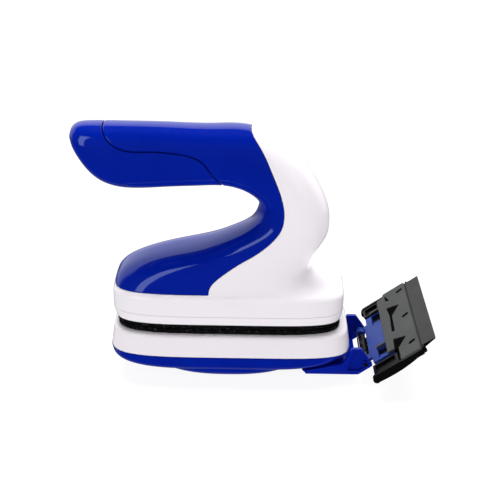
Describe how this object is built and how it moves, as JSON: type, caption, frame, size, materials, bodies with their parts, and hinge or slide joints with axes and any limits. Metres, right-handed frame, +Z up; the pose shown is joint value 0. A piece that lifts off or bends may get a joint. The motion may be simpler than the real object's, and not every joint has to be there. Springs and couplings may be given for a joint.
{
  "type": "magnetic glass cleaner",
  "caption": "Hand-held magnetic glass cleaner: white base with a curved blue loop handle, a floating wet half with a scrubbing pad, and a clip-on sprung scraper blade.",
  "frame": {"origin": "centre of the small flat foot under the float unit's keel", "axes": "+Z up from the float to the grip, +X along the base towards the scraper, +Y across"},
  "size_m": [0.2108, 0.085, 0.1555],
  "materials": {
    "white_plastic": "semi-gloss moulded white",
    "blue_plastic": "high gloss moulded cobalt blue",
    "pad_fibre": "black fibre pad",
    "magnet_nickel": "nickel-plated block magnet",
    "tray_plastic": "black moulded frame",
    "plate_steel": "zinc-plated sheet",
    "screw_steel": "zinc-plated screw",
    "pin_steel": "polished stainless",
    "carrier_plastic": "black moulded",
    "clamp_plastic": "dark grey moulded, satin",
    "blade_plastic": "dark grey scraper blade, satin"
  },
  "bodies": {
    "float_unit": {"inner_housing": "white_plastic", "float_cover": "blue_plastic", "scrub_pad": "pad_fibre", "inner_magnet_tray": "tray_plastic", "inner_magnet_1": "magnet_nickel", "inner_magnet_2": "magnet_nickel", "inner_magnet_3": "magnet_nickel", "inner_magnet_4": "magnet_nickel", "inner_yoke_plate": "plate_steel"},
    "handle_unit": {"outer_housing": "white_plastic", "loop_shell": "blue_plastic", "grip_lower_shell": "blue_plastic", "outer_base_plate": "white_plastic", "felt_pad": "pad_fibre", "outer_magnet_tray": "tray_plastic", "outer_magnet_1": "magnet_nickel", "outer_magnet_2": "magnet_nickel", "outer_magnet_3": "magnet_nickel", "outer_magnet_4": "magnet_nickel", "outer_yoke_plate": "plate_steel", "base_screws": "screw_steel"},
    "bracket_unit": {"scraper_bracket": "blue_plastic", "pivot_pin": "pin_steel", "torsion_spring": "pin_steel"},
    "scraper_unit": {"swing_plate": "blue_plastic", "blade_carrier": "carrier_plastic", "blade_clamp": "clamp_plastic", "scraper_blade": "blade_plastic"}
  },
  "joints": [
    {"name": "lift_off", "type": "slide", "parent": "float_unit", "child": "handle_unit", "axis": [0, 0, 1], "range_m": [0, 0.06]},
    {"name": "bracket_slide", "type": "slide", "parent": "float_unit", "child": "bracket_unit", "axis": [1, 0, 0], "range_m": [0, 0.03]},
    {"name": "blade_pivot", "type": "hinge", "parent": "bracket_unit", "child": "scraper_unit", "pos_m": [0.0835, 0, 0.013], "axis": [0, 1, 0], "range_deg": [0, 30], "stiffness_Nm_per_rad": 0.06, "springref_deg": -28.65}
  ]
}
